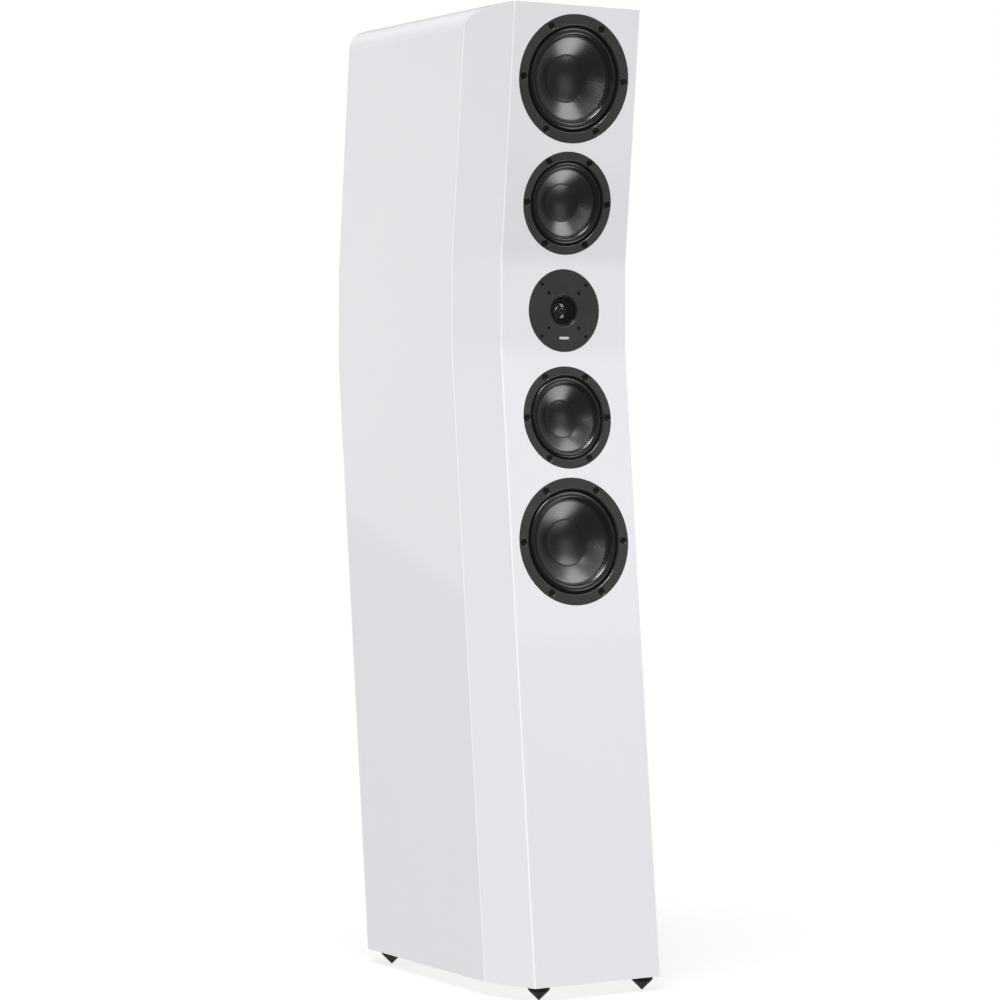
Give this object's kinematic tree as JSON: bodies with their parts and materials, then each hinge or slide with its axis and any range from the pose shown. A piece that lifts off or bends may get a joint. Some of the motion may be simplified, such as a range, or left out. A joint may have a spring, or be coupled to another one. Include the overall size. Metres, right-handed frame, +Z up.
{
  "type": "floorstanding speaker",
  "caption": "Tall three-way floorstanding speaker with a bent gloss white cabinet, mirrored woofers and midranges around a central tweeter, and spiked feet.",
  "frame": {"origin": "on the floor under the middle of the speaker's outline, at the height of the spike tips", "axes": "+Z up, -Y is the way the drivers face, +X is the speaker's own left. Panels, spikes and lock rings are named left and right as seen from the front, with left at -X. The terminals are named as seen from behind, with left at +X"},
  "size_m": [0.2506, 0.4852, 1.2975],
  "materials": {
    "gloss_white_lacquer": "gloss lacquer over fibreboard",
    "raw_board": "unfinished fibreboard",
    "wadding": "soft matt fibre",
    "dark_cast_frame": "fine textured dark coating",
    "dark_faceplate": "fine textured dark coating",
    "surround_rubber": "satin",
    "driver_cone": "satin coated pulp",
    "dust_cap": "satin",
    "copper_winding": "varnished wire",
    "spider_cloth": "resin-stiffened cloth",
    "motor_steel": "zinc-passivated steel and ferrite",
    "gasket_foam": "matt foam rubber",
    "black_screws": "black oxide",
    "black_grid": "satin black",
    "dome_metal": "bright anodised",
    "tweeter_edge": "satin",
    "port_plastic": "fine moulded texture",
    "terminal_plastic": "gloss black",
    "plated_brass": "bright plated",
    "circuit_board": "coated laminate",
    "capacitor_sleeve": "film sleeve",
    "cable_sheath": "flexible sheath",
    "black_spike": "satin black"
  },
  "bodies": {
    "cabinet": {"front_baffle": "gloss_white_lacquer", "left_side_panel": "gloss_white_lacquer", "right_side_panel": "gloss_white_lacquer", "rear_panel": "gloss_white_lacquer", "top_panel": "gloss_white_lacquer", "bottom_panel": "gloss_white_lacquer", "inner_boards": "raw_board", "damping_pads": "wadding", "woofer_spiders": "spider_cloth", "midrange_spiders": "spider_cloth", "woofer_motors": "motor_steel", "midrange_motors": "motor_steel", "driver_gaskets": "gasket_foam", "mounting_screws": "black_screws", "tweeter_faceplate": "dark_faceplate", "tweeter_diffuser": "black_grid", "tweeter_surround": "tweeter_edge", "tweeter_motor": "motor_steel", "tweeter_screws": "black_screws", "port_tubes": "port_plastic", "terminal_plate": "terminal_plastic", "binding_posts": "plated_brass", "crossover_board": "circuit_board", "crossover_coils": "copper_winding", "crossover_capacitors": "capacitor_sleeve", "wiring_harness": "cable_sheath", "spike_inserts": "plated_brass", "woofer_upper_basket": "dark_cast_frame", "woofer_upper_surround": "surround_rubber", "midrange_upper_basket": "dark_cast_frame", "midrange_upper_surround": "surround_rubber", "midrange_lower_basket": "dark_cast_frame", "midrange_lower_surround": "surround_rubber", "woofer_lower_basket": "dark_cast_frame", "woofer_lower_surround": "surround_rubber"},
    "woofer_upper_diaphragm": {"woofer_upper_cone": "driver_cone", "woofer_upper_dust_cap": "dust_cap", "woofer_upper_voice_coil": "copper_winding"},
    "midrange_upper_diaphragm": {"midrange_upper_cone": "driver_cone", "midrange_upper_dust_cap": "dust_cap", "midrange_upper_voice_coil": "copper_winding"},
    "midrange_lower_diaphragm": {"midrange_lower_cone": "driver_cone", "midrange_lower_dust_cap": "dust_cap", "midrange_lower_voice_coil": "copper_winding"},
    "woofer_lower_diaphragm": {"woofer_lower_cone": "driver_cone", "woofer_lower_dust_cap": "dust_cap", "woofer_lower_voice_coil": "copper_winding"},
    "tweeter_diaphragm": {"tweeter_dome": "dome_metal"},
    "washer_left": {"terminal_washer_left": "plated_brass"},
    "knob_left": {"terminal_knob_left": "terminal_plastic"},
    "washer_right": {"terminal_washer_right": "plated_brass"},
    "knob_right": {"terminal_knob_right": "terminal_plastic"},
    "lock_ring_front_left": {"lock_ring_front_left": "black_spike"},
    "spike_front_left": {"spike_front_left": "black_spike"},
    "lock_ring_front_right": {"lock_ring_front_right": "black_spike"},
    "spike_front_right": {"spike_front_right": "black_spike"},
    "lock_ring_rear_left": {"lock_ring_rear_left": "black_spike"},
    "spike_rear_left": {"spike_rear_left": "black_spike"},
    "lock_ring_rear_right": {"lock_ring_rear_right": "black_spike"},
    "spike_rear_right": {"spike_rear_right": "black_spike"}
  },
  "joints": [
    {"name": "woofer_upper_excursion", "type": "slide", "parent": "cabinet", "child": "woofer_upper_diaphragm", "axis": [0, -0.9947, -0.1028], "range_m": [-0.006, 0.006], "stiffness_N_per_m": 1200, "deforming": ["woofer_upper_surround", "woofer_spiders"]},
    {"name": "midrange_upper_excursion", "type": "slide", "parent": "cabinet", "child": "midrange_upper_diaphragm", "axis": [0, -0.9947, -0.1028], "range_m": [-0.003, 0.003], "stiffness_N_per_m": 1500, "deforming": ["midrange_upper_surround", "midrange_spiders"]},
    {"name": "midrange_lower_excursion", "type": "slide", "parent": "cabinet", "child": "midrange_lower_diaphragm", "axis": [0, -0.9947, 0.1028], "range_m": [-0.003, 0.003], "stiffness_N_per_m": 1500, "deforming": ["midrange_lower_surround", "midrange_spiders"]},
    {"name": "woofer_lower_excursion", "type": "slide", "parent": "cabinet", "child": "woofer_lower_diaphragm", "axis": [0, -0.9947, 0.1028], "range_m": [-0.006, 0.006], "stiffness_N_per_m": 1200, "deforming": ["woofer_lower_surround", "woofer_spiders"]},
    {"name": "tweeter_excursion", "type": "slide", "parent": "cabinet", "child": "tweeter_diaphragm", "axis": [0, -1, 0], "range_m": [-0.0003, 0.0003], "stiffness_N_per_m": 500, "deforming": ["tweeter_surround"]},
    {"name": "terminal_left_travel", "type": "slide", "parent": "cabinet", "child": "washer_left", "axis": [0, 0.9947, -0.1028], "range_m": [0, 0.005]},
    {"name": "terminal_left_turn", "type": "hinge", "parent": "washer_left", "child": "knob_left", "pos_m": [0.019, 0.19091, 0.13444], "axis": [0, 0.9947, -0.1028], "range_deg": [0, 1800]},
    {"name": "terminal_right_travel", "type": "slide", "parent": "cabinet", "child": "washer_right", "axis": [0, 0.9947, -0.1028], "range_m": [0, 0.005]},
    {"name": "terminal_right_turn", "type": "hinge", "parent": "washer_right", "child": "knob_right", "pos_m": [-0.019, 0.19091, 0.13444], "axis": [0, 0.9947, -0.1028], "range_deg": [0, 1800]},
    {"name": "spike_front_left_turn", "type": "hinge", "parent": "cabinet", "child": "lock_ring_front_left", "pos_m": [-0.08, -0.2244, 0.016], "axis": [0, 0, -1], "range_deg": [0, 2880]},
    {"name": "spike_front_left_height", "type": "slide", "parent": "lock_ring_front_left", "child": "spike_front_left", "axis": [0, 0, -1], "range_m": [0, 0.01]},
    {"name": "spike_front_right_turn", "type": "hinge", "parent": "cabinet", "child": "lock_ring_front_right", "pos_m": [0.08, -0.2244, 0.016], "axis": [0, 0, -1], "range_deg": [0, 2880]},
    {"name": "spike_front_right_height", "type": "slide", "parent": "lock_ring_front_right", "child": "spike_front_right", "axis": [0, 0, -1], "range_m": [0, 0.01]},
    {"name": "spike_rear_left_turn", "type": "hinge", "parent": "cabinet", "child": "lock_ring_rear_left", "pos_m": [-0.102, 0.1306, 0.016], "axis": [0, 0, -1], "range_deg": [0, 2880]},
    {"name": "spike_rear_left_height", "type": "slide", "parent": "lock_ring_rear_left", "child": "spike_rear_left", "axis": [0, 0, -1], "range_m": [0, 0.01]},
    {"name": "spike_rear_right_turn", "type": "hinge", "parent": "cabinet", "child": "lock_ring_rear_right", "pos_m": [0.102, 0.1306, 0.016], "axis": [0, 0, -1], "range_deg": [0, 2880]},
    {"name": "spike_rear_right_height", "type": "slide", "parent": "lock_ring_rear_right", "child": "spike_rear_right", "axis": [0, 0, -1], "range_m": [0, 0.01]}
  ],
  "couplings": [
    {"joint": "terminal_left_turn", "follows": "terminal_left_travel", "rad_per_m": 6283},
    {"joint": "terminal_right_turn", "follows": "terminal_right_travel", "rad_per_m": 6283},
    {"joint": "spike_front_left_turn", "follows": "spike_front_left_height", "rad_per_m": 5026},
    {"joint": "spike_front_right_turn", "follows": "spike_front_right_height", "rad_per_m": 5026},
    {"joint": "spike_rear_left_turn", "follows": "spike_rear_left_height", "rad_per_m": 5026},
    {"joint": "spike_rear_right_turn", "follows": "spike_rear_right_height", "rad_per_m": 5026}
  ]
}
